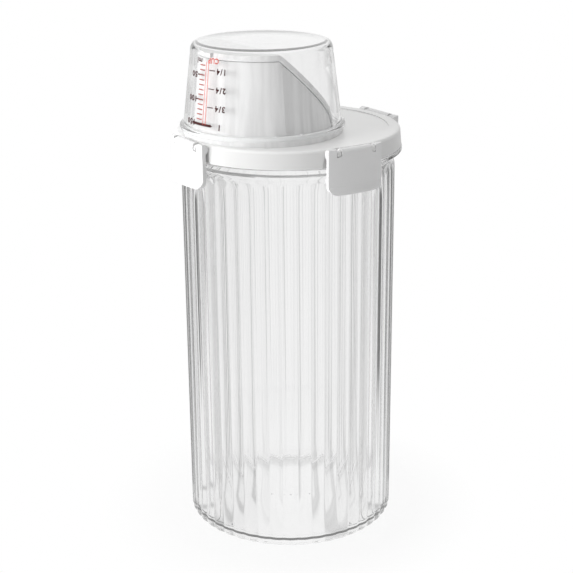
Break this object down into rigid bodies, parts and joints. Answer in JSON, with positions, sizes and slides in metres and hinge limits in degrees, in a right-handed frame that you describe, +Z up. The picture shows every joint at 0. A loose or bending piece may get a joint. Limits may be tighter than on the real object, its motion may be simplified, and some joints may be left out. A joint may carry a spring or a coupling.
{
  "type": "cereal container with flip spout",
  "caption": "Tall clear ribbed storage jar with a latched white lid, a slanted pouring spout under a flip flap, and a clear measuring cup as its cap.",
  "frame": {"origin": "middle of the jar's base, on the surface it stands on", "axes": "+Z up along the jar's axis; the camera side of the picture is -Y; the spout slopes down towards +X and +Y"},
  "size_m": [0.117, 0.117, 0.2574],
  "materials": {
    "clear_plastic": "clear moulded styrene plastic, polished",
    "white_plastic": "white polypropylene, satin gloss",
    "latch_plastic": "white polypropylene, fine matt texture",
    "silicone": "pale translucent silicone",
    "steel": "plain ground steel"
  },
  "bodies": {
    "jar": {"container": "clear_plastic"},
    "lid": {"lid": "white_plastic", "lid_gasket": "silicone", "spout": "white_plastic", "cup_gasket": "silicone", "flap_pin": "steel", "latch_pin_1": "steel", "latch_pin_2": "steel", "latch_pin_3": "steel", "latch_pin_4": "steel"},
    "flap": {"flap": "white_plastic", "flap_seal": "silicone"},
    "cup": {"cup": "clear_plastic"},
    "latch_1": {"latch_1": "latch_plastic"},
    "latch_2": {"latch_2": "latch_plastic"},
    "latch_3": {"latch_3": "latch_plastic"},
    "latch_4": {"latch_4": "latch_plastic"}
  },
  "joints": [
    {"name": "lid_lift", "type": "slide", "parent": "jar", "child": "lid", "axis": [0, 0, 1], "range_m": [0, 0.06]},
    {"name": "cup_lift", "type": "slide", "parent": "lid", "child": "cup", "axis": [0, 0, 1], "range_m": [0, 0.18]},
    {"name": "flap_hinge", "type": "hinge", "parent": "lid", "child": "flap", "pos_m": [0.01528, 0.00992, 0.2175], "axis": [-0.5446, 0.8387, 0], "range_deg": [0, 100]},
    {"name": "latch_1_hinge", "type": "hinge", "parent": "lid", "child": "latch_1", "pos_m": [0.04905, 0.03185, 0.2101], "axis": [0.5446, -0.8387, 0], "range_deg": [0, 110]},
    {"name": "latch_2_hinge", "type": "hinge", "parent": "lid", "child": "latch_2", "pos_m": [-0.03185, 0.04905, 0.2101], "axis": [0.8387, 0.5446, 0], "range_deg": [0, 110]},
    {"name": "latch_3_hinge", "type": "hinge", "parent": "lid", "child": "latch_3", "pos_m": [-0.04905, -0.03185, 0.2101], "axis": [-0.5446, 0.8387, 0], "range_deg": [0, 110]},
    {"name": "latch_4_hinge", "type": "hinge", "parent": "lid", "child": "latch_4", "pos_m": [0.03185, -0.04905, 0.2101], "axis": [-0.8387, -0.5446, 0], "range_deg": [0, 110]}
  ],
  "couplings": [
    {"joint": "flap_hinge", "follows": "cup_lift", "rad_per_m": 9.69}
  ]
}
